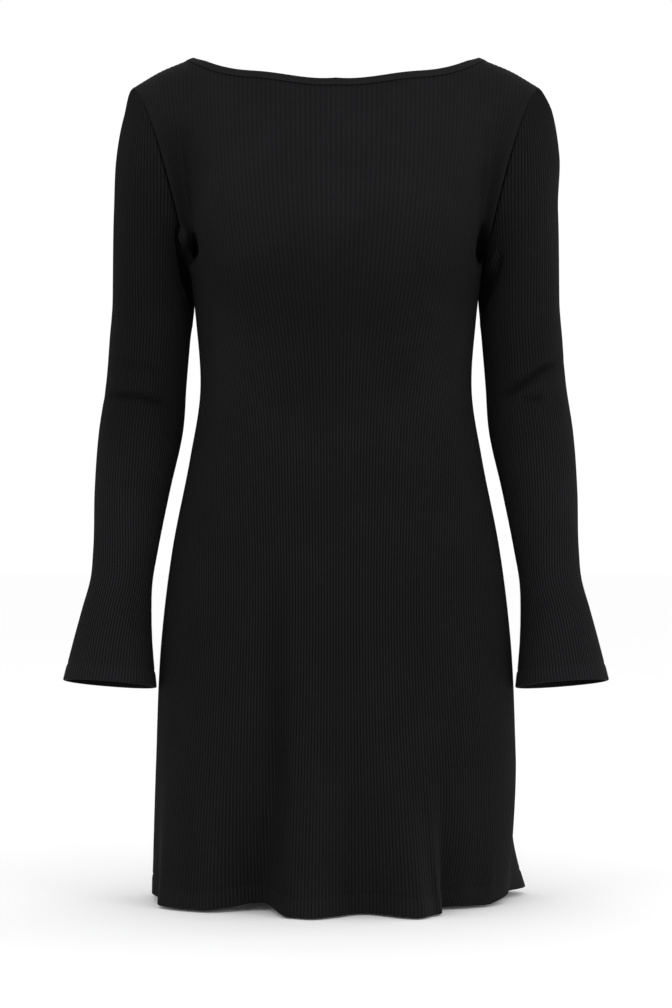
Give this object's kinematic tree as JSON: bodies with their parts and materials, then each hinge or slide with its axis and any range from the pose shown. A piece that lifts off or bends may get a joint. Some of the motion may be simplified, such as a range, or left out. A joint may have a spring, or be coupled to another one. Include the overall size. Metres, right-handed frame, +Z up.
{
  "type": "a-line dress",
  "caption": "Rib-knit a-line mini dress, filled out as if worn: bound boat neck, set-in long sleeves that flare at the cuff, soft folds at the hem.",
  "frame": {"origin": "on the shoulder line, midway between the two neck points, where the wearer's shoulders carry the dress", "axes": "+Z up, from the hem to the shoulders; the front of the dress faces -Y; +X is the wearer's left"},
  "size_m": [0.5396, 0.281, 0.841],
  "materials": {
    "body_rib_knit": "matt near-black rib knit, upright ribs about 3 mm apart, faint soft sheen where it turns away",
    "sleeve_rib_knit": "the same rib knit, ribs running down the sleeve",
    "binding_knit": "the same knit as a narrow doubled strip, with a sewn ditch below it"
  },
  "bodies": {
    "root": {"front": "body_rib_knit", "back": "body_rib_knit", "sleeve_left": "sleeve_rib_knit", "sleeve_right": "sleeve_rib_knit", "neck_binding": "binding_knit"}
  },
  "joints": []
}
